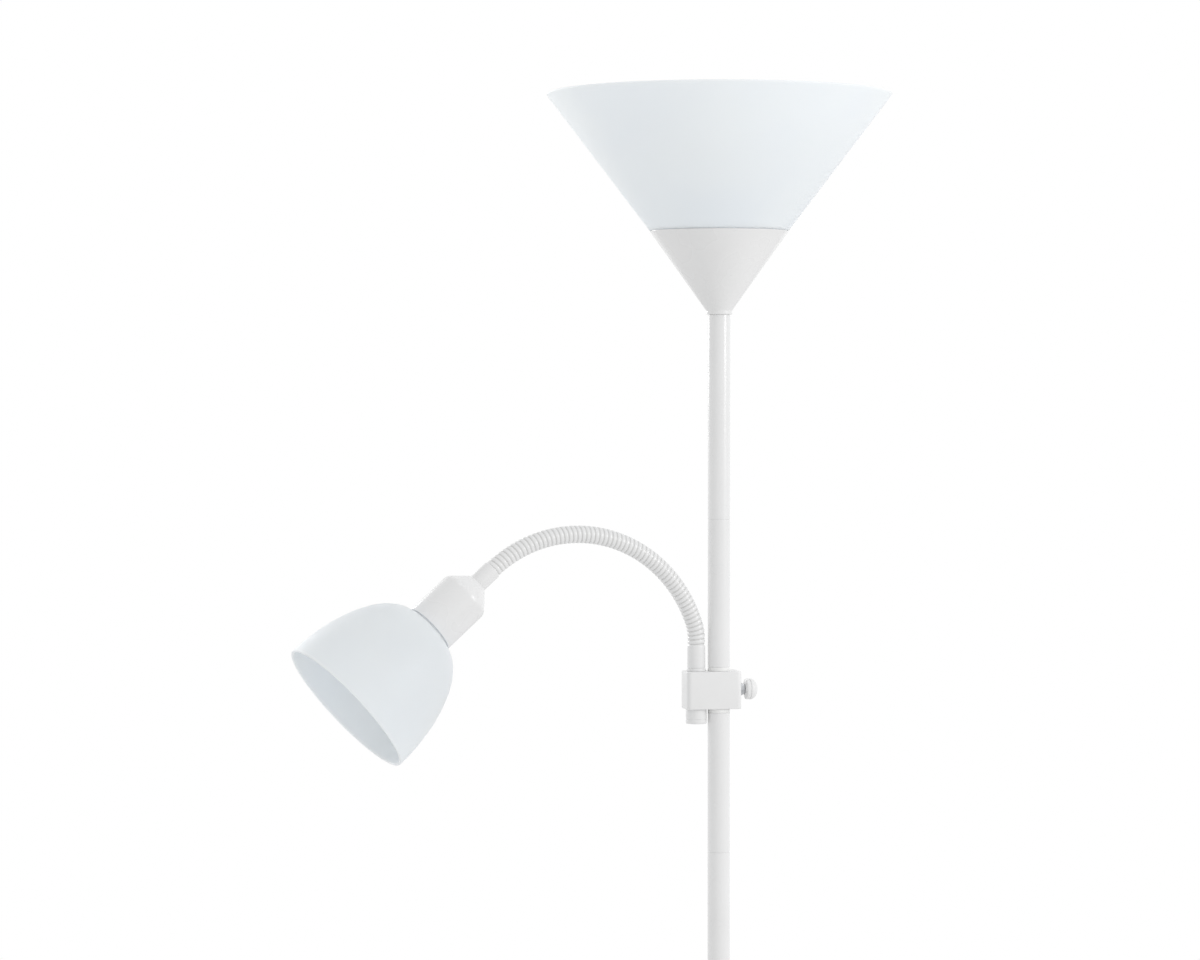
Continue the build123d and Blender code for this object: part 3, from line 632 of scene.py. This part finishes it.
knob_low, knob_high = low("switch_knob").x, high("switch_knob").x
knob_radius = high("switch_knob").y
shaft_hole, bush_flange = 2 * MM + fit, 4.6 * MM
shaft_end = high("switch_rotor").x
skirt_start, skirt_end = knob_low + 1.6 * MM, knob_low + 3.6 * MM
dome_start = skirt_end + 0.5 * MM
knob_ribs, rib_depth = 44, 0.14 * MM
dome_turns = [pi / 2 * k / 16 for k in range(1, 17)]
knob_outline = [
    (0, shaft_end, 0),
    (shaft_hole, shaft_end, 0),
    (shaft_hole, knob_low, 0),
    (bush_flange, knob_low, 0.3 * MM),
    (knob_radius - 0.2 * MM, knob_low + 1.1 * MM, 0.5 * MM),
    (knob_radius - 0.1 * MM, skirt_start, 0),
    (knob_radius - 0.1 * MM, (skirt_start + skirt_end) / 2, 0),
    (knob_radius - 0.1 * MM, skirt_end, 0),
    (knob_radius - 0.5 * MM, skirt_end + 0.1 * MM, 0.1 * MM),
    (knob_radius - 0.5 * MM, dome_start - 0.1 * MM, 0.1 * MM),
    (knob_radius, dome_start, 0),
]
knob_outline += [
    (knob_radius * cos(turn), dome_start + (knob_high - dome_start) * sin(turn), 0) for turn in dome_turns
]
knob = turned(rounded(knob_outline), knob_ribs * 6, False)
for corner in knob.verts:
    if skirt_start - fit < corner.co.z < skirt_end + fit and corner.co.xy.length > knob_radius - 0.3 * MM:
        dip = 0.5 - 0.5 * cos(knob_ribs * corner.co.xy.angle_signed(Vector((1, 0))))
        corner.co.xy *= 1 - rib_depth * dip / knob_radius
finish_piece(knob, "knob_cap", "switch_knob", "white_plastic", "switch_knob", place=bush_place)

# ---------------------------------------------------------------- gooseneck's ferrule and nut

neck_bore, spigot_radius, spigot_length = 2.2 * MM, 4.6 * MM + fit, 6 * MM
stud_radius = 4.5 * MM
flange_radius, ferrule_radius = 7.1 * MM, 6.7 * MM
stud_low = low("neck_ferrule").z - neck_foot.z
ferrule_foot = rear_corner.z - neck_foot.z + fit
ferrule_groove = ferrule_foot + 2.2 * MM
finish_piece(
    turned(
        rounded(
            [
                (neck_bore, stud_low, 0),
                (stud_radius, stud_low, 0.4 * MM),
                (stud_radius, ferrule_foot, 0),
                (flange_radius, ferrule_foot, 0.3 * MM),
                (flange_radius, ferrule_groove - 0.1 * MM, 0.5 * MM),
                (ferrule_radius - 0.4 * MM, ferrule_groove, 0.1 * MM),
                (ferrule_radius - 0.4 * MM, ferrule_groove + 0.3 * MM, 0.1 * MM),
                (ferrule_radius, ferrule_groove + 0.5 * MM, 0.1 * MM),
                (ferrule_radius, -1.8 * MM, 1.4 * MM),
                (ferrule_radius - 1.1 * MM, 0, 0.4 * MM),
                (spigot_radius, 0, 0.2 * MM),
                (spigot_radius, -spigot_length, 0),
                (neck_bore, -spigot_length, 0),
            ]
        )
    ),
    "ferrule",
    "neck_base",
    "white_paint",
    "neck_ferrule",
    place=Matrix.Translation(neck_foot),
)

nut_radius = 7.8 * MM
nut_low, nut_high = low("neck_end_nut").z, high("neck_end_nut").z
nut_floor = 1.4 * MM
nut_groove = nut_low + 3.4 * MM
finish_piece(
    turned(
        rounded(
            [
                (0, nut_low, 0),
                (nut_radius, nut_low, 0.9 * MM),
                (nut_radius, nut_groove - 0.3 * MM, 0.1 * MM),
                (nut_radius - 0.35 * MM, nut_groove, 0.1 * MM),
                (nut_radius, nut_groove + 0.3 * MM, 0.1 * MM),
                (nut_radius, nut_high, 0.7 * MM),
                (stud_radius + fit, nut_high, 0.2 * MM),
                (stud_radius + fit, nut_low + nut_floor, 0),
                (0, nut_low + nut_floor, 0),
            ]
        ),
        closed=False,
    ),
    "neck_cap_nut",
    "neck_base",
    "white_paint",
    "neck_end_nut",
    place=stud_place,
)

# ---------------------------------------------------------------- uplight shade and its cup

wall = 2.2 * MM
hole_radius = 17 * MM
cap_low, cap_high = low("uplight_cap").z, high("uplight_cap").z
cap_rim = high("uplight_cap").x
rim_radius = high("uplight_shade").x
rim_height = high("uplight_shade").z
shade_slope = (rim_radius - cap_rim) / (rim_height - cap_high)
level_wall = wall * sqrt(1 + shade_slope**2)
floor_edge = cap_rim + wall * shade_slope - level_wall
finish_piece(
    turned(
        rounded(
            [
                (hole_radius, cap_high, 0.4 * MM),
                (cap_rim - 0.4 * MM, cap_high, 0.5 * MM),
                (rim_radius, rim_height, 1.0 * MM),
                (rim_radius - level_wall, rim_height, 0.7 * MM),
                (floor_edge, cap_high + wall, 3 * MM),
                (hole_radius, cap_high + wall, 0.4 * MM),
            ]
        ),
        256,
    ),
    "uplight_shade_shell",
    "stand",
    "frosted_plastic",
    "uplight_shade",
)

cap_base = cap_low + 3 * MM
cap_neck = 9.8 * MM
cap_wall = 1.4 * MM
cap_slope = (cap_rim - cap_neck) / (cap_high - cap_base)
boss_top = cap_low + 14 * MM
thread_hole = 5 * MM + fit
finish_piece(
    turned(
        rounded(
            [
                (thread_hole, cap_low, 0),
                (cap_neck, cap_low, 0.5 * MM),
                (cap_neck, cap_base, 1.5 * MM),
                (cap_rim, cap_high, 0.4 * MM),
                (cap_rim - cap_wall, cap_high, 0.3 * MM),
                (cap_neck + (boss_top - cap_base) * cap_slope - cap_wall, boss_top, 2 * MM),
                (thread_hole, boss_top, 0),
            ]
        )
    ),
    "uplight_cup",
    "stand",
    "white_paint",
    "uplight_cap",
)

# ---------------------------------------------------------------- reading lamp's head

holder_radius, holder_length, holder_wall = 19.6 * MM, 50 * MM, 2 * MM
holder_floor = 12 * MM
seam_width, seam_depth = 1.3 * MM, 1.6 * MM
finish_piece(
    turned(
        rounded(
            [
                (thread_hole, 0, 0),
                (8.2 * MM, 0, 2 * MM),
                (holder_radius, 12.5 * MM, 7 * MM),
                (holder_radius, holder_length - seam_width, 0.3 * MM),
                (holder_radius - seam_depth, holder_length - seam_width, 0),
                (holder_radius - seam_depth, holder_length, 0.1 * MM),
                (holder_radius - holder_wall, holder_length, 0.2 * MM),
                (holder_radius - holder_wall, holder_floor + holder_wall, 1 * MM),
                (holder_radius - 2 * holder_wall, holder_floor, 0),
                (thread_hole, holder_floor, 0),
            ]
        )
    ),
    "lamp_holder_shell",
    "head",
    "white_paint",
    "lamp_holder_cup",
    place=head_place,
)

sleeve_radius, thread_radius = 7 * MM, 5 * MM
sleeve_stud = 20 * MM
spigot_end = -sleeve_length + spigot_length
finish_piece(
    turned(
        rounded(
            [
                (neck_bore, spigot_end, 0),
                (spigot_radius, spigot_end, 0),
                (spigot_radius, -sleeve_length, 0.2 * MM),
                (sleeve_radius, -sleeve_length, 0.8 * MM),
                (sleeve_radius, 0, 0.4 * MM),
                (thread_radius, 0, 0),
                (thread_radius, sleeve_stud, 0),
                (neck_bore, sleeve_stud, 0),
            ]
        )
    ),
    "neck_end_sleeve",
    "head",
    "neck_paint",
    "neck_sleeve",
    place=head_place,
)

bell_depth, bell_radius = 83 * MM, 56 * MM
bell_rim = holder_length + bell_depth


def bell_curve(inset, steps=48):
    """The bell's quarter ellipse, from the holder to near the rim."""
    across, along = bell_radius - hole_radius - inset, bell_depth - inset
    turns = [pi / 2 * k / steps for k in range(steps)]
    return [(hole_radius + across * sin(turn), bell_rim - along * cos(turn), 0) for turn in turns]


finish_piece(
    turned(
        rounded(
            bell_curve(0)
            + [(bell_radius, bell_rim, 0.9 * MM), (bell_radius - wall, bell_rim, 0.9 * MM)]
            + bell_curve(wall)[::-1]
        ),
        256,
    ),
    "reading_shade_bell",
    "head",
    "frosted_plastic",
    "reading_shade",
    place=head_place,
)

# ---------------------------------------------------------------- the gooseneck and its lead

turns_per_segment = 6
pitch = segment_length / turns_per_segment
crest, groove_depth = 6.5 * MM, 0.45 * MM
bore = 2.4 * MM
rib_low, rib_high = 0.1, 0.9
rib_steps, turn_steps = 8, 48
lead_radius, lead_sides = 1.6 * MM, 20


def extrude_ring(mesh, ring, rise, steps):
    """Draws a ring of edges out along z, and gives back the edges at its far end."""
    for _ in range(steps):
        made = bmesh.ops.extrude_edge_only(mesh, edges=ring)["geom"]
        corners = [part for part in made if isinstance(part, bmesh.types.BMVert)]
        bmesh.ops.translate(mesh, verts=corners, vec=UP * rise / steps)
        ring = [part for part in made if isinstance(part, bmesh.types.BMEdge) and part.is_boundary]
    return ring


def winding(first, last):
    """A straight stretch of the neck's winding, bored through and cut square, between two turns."""
    mesh = bmesh.new()
    middle, half = (rib_low + rib_high) / 2, (rib_high - rib_low) / 2
    rib = [pi * k / rib_steps for k in range(rib_steps + 1)]
    outline = [(crest - groove_depth, 0)]
    outline += [(crest - groove_depth * (1 - sin(a)), (middle - half * cos(a)) * pitch) for a in rib]
    outline.append((crest - groove_depth, pitch))
    corners = [mesh.verts.new((radius, 0, (first - 1) * pitch + height)) for radius, height in outline]
    edges = [mesh.edges.new(pair) for pair in zip(corners, corners[1:])]
    turns = last - first + 2
    bmesh.ops.spin(
        mesh,
        geom=corners + edges,
        cent=(0, 0, 0),
        axis=UP,
        dvec=UP * pitch / turn_steps,
        angle=turns * tau,
        steps=turns * turn_steps,
    )
    bmesh.ops.remove_doubles(mesh, verts=mesh.verts, dist=0.02 * MM)
    for turn, side in ((first, -1), (last, 1)):
        bmesh.ops.bisect_plane(
            mesh,
            geom=mesh.verts[:] + mesh.edges[:] + mesh.faces[:],
            plane_co=UP * turn * pitch,
            plane_no=UP * side,
            dist=0.001 * MM,
            clear_outer=True,
        )
    near = [edge for edge in mesh.edges if edge.is_boundary and edge.verts[0].co.z < (first + 0.01) * pitch]
    far = [edge for edge in mesh.edges if edge.is_boundary and edge.verts[0].co.z > (last - 0.01) * pitch]
    # The groove mask, 0 on a crest and 1 in a valley, sets where painted shade greys the neck's paint.
    groove = mesh.verts.layers.float.new("groove")
    for corner in mesh.verts:
        corner[groove] = min((crest - corner.co.xy.length) / groove_depth, 1)
    circle = bmesh.ops.create_circle(mesh, segments=turn_steps, radius=bore)["verts"]
    bmesh.ops.translate(mesh, verts=circle, vec=UP * first * pitch)
    inner_near = list({edge for corner in circle for edge in corner.link_edges})
    inner_far = extrude_ring(mesh, inner_near, (last - first) * pitch, (last - first) * 2)
    bmesh.ops.triangle_fill(mesh, edges=near + inner_near, use_beauty=True)
    bmesh.ops.triangle_fill(mesh, edges=far + inner_far, use_beauty=True)
    return mesh


def lead(start, end, steps):
    """A straight stretch of the lead inside the neck, with closed ends."""
    mesh = bmesh.new()
    circle = bmesh.ops.create_circle(mesh, segments=lead_sides, radius=lead_radius)["verts"]
    bmesh.ops.translate(mesh, verts=circle, vec=UP * start)
    near = list({edge for corner in circle for edge in corner.link_edges})
    far = extrude_ring(mesh, near, end - start, steps)
    bmesh.ops.holes_fill(mesh, edges=near + far, sides=0)
    return mesh


def bend_along_neck(mesh):
    for corner in mesh.verts:
        corner.co = neck_place(corner.co.z) @ Vector((corner.co.x, corner.co.y, 0))


lead_start, lead_end = -30 * MM, neck_length + sleeve_length + 20 * MM
for number in range(1, segment_count):
    first_piece, last_piece = number == 1, number == segment_count - 1
    from_segment = 0 if first_piece else number - 0.5
    to_segment = segment_count if last_piece else number + 0.5
    stood_for = [f"neck_segment_{number:02d}"] + ([f"neck_segment_{segment_count:02d}"] if last_piece else [])
    coil = winding(round(from_segment * turns_per_segment), round(to_segment * turns_per_segment))
    from_length = lead_start if first_piece else from_segment * segment_length
    to_length = lead_end if last_piece else to_segment * segment_length
    core = lead(from_length, to_length, 24 if first_piece or last_piece else 12)
    for mesh, name, slot, stands_for in (
        (coil, f"neck_winding_{number}", "neck_paint", stood_for),
        (core, f"neck_lead_{number}", "cable", ["neck_cable"]),
    ):
        bend_along_neck(mesh)
        piece = finish_piece(mesh, name, None, slot, *stands_for)
        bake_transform(piece)

# ---------------------------------------------------------------- camera, stage and lights

camera_turn = radians(13)
pole_distance = 2.75
pole_scale = 0.7434 * MM
pole_column, horizon_row, rim_row = 719, 385, 94
picture_width, picture_height = 1200, 960
sensor_width = 36
looking = Vector((sin(camera_turn), cos(camera_turn), 0))
rightward = Vector((cos(camera_turn), -sin(camera_turn), 0))
horizon_height = rim_height + (rim_row - horizon_row) * pole_scale
camera_data = bpy.data.cameras.new("camera")
camera_data.sensor_width = sensor_width
camera_data.lens = sensor_width / picture_width * pole_distance / pole_scale
camera = bpy.data.objects.new("camera", camera_data)
bpy.context.scene.collection.objects.link(camera)
aside = (pole_column - picture_width / 2) * pole_scale
tilt = atan((picture_height / 2 - horizon_row) * pole_scale / pole_distance)
camera.location = -looking * pole_distance - rightward * aside + UP * horizon_height
camera.rotation_euler = (pi / 2 - tilt, 0, -camera_turn)
bpy.context.scene.camera = camera
bpy.context.scene.view_settings.view_transform = "Standard"

floor_mesh = bmesh.new()
bmesh.ops.create_grid(floor_mesh, x_segments=1, y_segments=1, size=6)
floor_data = bpy.data.meshes.new("floor")
floor_mesh.to_mesh(floor_data)
floor_mesh.free()
floor = bpy.data.objects.new("floor", floor_data)
floor.location.z = -0.5 * MM
bpy.context.scene.collection.objects.link(floor)
floor_finish = new_material("pale_floor", srgb(240, 240, 240), 0.8)
toned(floor_finish, pattern(floor_finish, 3, 2), srgb(242, 242, 242), srgb(238, 238, 238))
floor_data.materials.append(floor_finish)


def fade_to_white(material, start, end):
    """Lets the floor run into the white ground between two distances, as the camera sees it."""
    tree = material.node_tree
    place = tree.nodes.new("ShaderNodeTexCoord")
    distance = tree.nodes.new("ShaderNodeVectorMath")
    distance.operation = "LENGTH"
    tree.links.new(place.outputs["Object"], distance.inputs[0])
    rays = tree.nodes.new("ShaderNodeLightPath")
    share = tree.nodes.new("ShaderNodeMath")
    share.operation = "MULTIPLY"
    tree.links.new(ranged(material, distance.outputs["Value"], start, end, 0, 1), share.inputs[0])
    tree.links.new(rays.outputs["Is Camera Ray"], share.inputs[1])
    white = tree.nodes.new("ShaderNodeEmission")
    mix = tree.nodes.new("ShaderNodeMixShader")
    tree.links.new(share.outputs["Value"], mix.inputs["Fac"])
    tree.links.new(tree.nodes["Principled BSDF"].outputs["BSDF"], mix.inputs[1])
    tree.links.new(white.outputs["Emission"], mix.inputs[2])
    tree.links.new(mix.outputs["Shader"], tree.nodes["Material Output"].inputs["Surface"])


fade_to_white(floor_finish, 0.3, 2.4)


softbox_distance, softbox_size = 2.4, 0.9
lit_middle = Vector((-0.1, 0, 1.55))


def soft_light(name, azimuth, elevation, power):
    """A square softbox aimed at the middle of what the photograph shows; azimuth 0 is the camera's side."""
    away = Matrix.Rotation(azimuth, 3, "Z") @ -looking
    spot = lit_middle + (away * cos(elevation) + UP * sin(elevation)) * softbox_distance
    data = bpy.data.lights.new(name, "AREA")
    data.shape = "SQUARE"
    data.size = softbox_size
    data.energy = power
    light = bpy.data.objects.new(name, data)
    light.location = spot
    light.rotation_euler = (lit_middle - spot).to_track_quat("-Z", "Y").to_euler()
    bpy.context.scene.collection.objects.link(light)


soft_light("key", radians(66), radians(12), 13)
soft_light("behind_left", radians(-140), radians(12), 11)
soft_light("top", radians(90), radians(75), 5)

world = bpy.data.worlds.new("studio")
bpy.context.scene.world = world
world.use_nodes = True
sky = world.node_tree
background = sky.nodes["Background"]
background.inputs["Color"].default_value = (1, 1, 1, 1)
background.inputs["Strength"].default_value = 0.79
seen = sky.nodes.new("ShaderNodeBackground")
seen.inputs["Color"].default_value = (1, 1, 1, 1)
rays = sky.nodes.new("ShaderNodeLightPath")
choose = sky.nodes.new("ShaderNodeMixShader")
seen_share = rays.outputs["Is Camera Ray"]
for kind in ("Is Glossy Ray", "Is Transmission Ray"):
    either = sky.nodes.new("ShaderNodeMath")
    either.operation = "MAXIMUM"
    sky.links.new(seen_share, either.inputs[0])
    sky.links.new(rays.outputs[kind], either.inputs[1])
    seen_share = either.outputs["Value"]
sky.links.new(seen_share, choose.inputs["Fac"])
sky.links.new(background.outputs["Background"], choose.inputs[1])
sky.links.new(seen.outputs["Background"], choose.inputs[2])
sky.links.new(choose.outputs["Shader"], sky.nodes["World Output"].inputs["Surface"])
